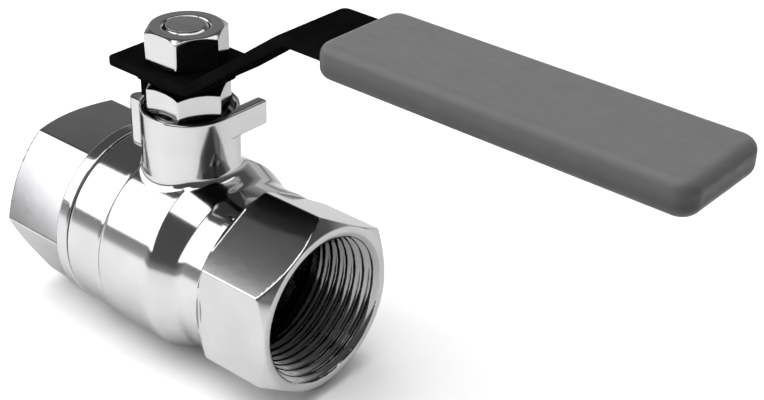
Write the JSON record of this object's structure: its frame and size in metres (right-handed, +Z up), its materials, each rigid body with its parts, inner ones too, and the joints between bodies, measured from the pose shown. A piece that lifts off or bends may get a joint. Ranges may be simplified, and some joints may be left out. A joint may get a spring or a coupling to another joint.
{
  "type": "ball valve",
  "caption": "Lever-operated ball valve with a screwed two-piece hexagon-ended body, female pipe ports, a gland-sealed stem and a cranked lever with a plastic grip.",
  "frame": {"origin": "where the pipe axis crosses the stem axis, at the centre of the ball", "axes": "+X along the pipe towards the outlet port, the way the lever points when the valve is open; +Z up the stem"},
  "size_m": [0.1366, 0.0366, 0.0733],
  "materials": {
    "plated_body": "satin nickel plate",
    "plated_cap": "satin nickel plate",
    "plated_nut": "bright plate",
    "chromed_ball": "mirror chrome",
    "stem_metal": "turned",
    "black_steel": "satin black",
    "grip": "satin dipped vinyl",
    "ptfe": "waxy white",
    "rubber": "matte",
    "brass": "turned"
  },
  "bodies": {
    "valve_body": {"body": "plated_body", "end_cap": "plated_cap", "body_o_ring": "rubber", "seat_outlet": "ptfe", "seat_inlet": "ptfe", "thrust_washer": "ptfe", "packing_ring_lower": "ptfe", "packing_ring_middle": "ptfe", "packing_ring_upper": "ptfe", "packing_follower": "brass", "gland_nut": "plated_nut"},
    "spindle": {"stem": "stem_metal", "stem_o_ring_lower": "rubber", "stem_o_ring_upper": "rubber", "stop_plate": "black_steel", "lever": "black_steel", "lever_grip": "grip", "lever_nut": "plated_nut"},
    "ball": {"ball": "chromed_ball"}
  },
  "joints": [
    {"name": "lever_turn", "type": "hinge", "parent": "valve_body", "child": "spindle", "pos_m": [0, 0, 0], "axis": [0, 0, 1], "range_deg": [-90, 0]},
    {"name": "ball_turn", "type": "hinge", "parent": "valve_body", "child": "ball", "pos_m": [0, 0, 0], "axis": [0, 0, 1], "range_deg": [-90, 0]}
  ],
  "couplings": [
    {"joint": "ball_turn", "follows": "lever_turn", "ratio": 1}
  ]
}
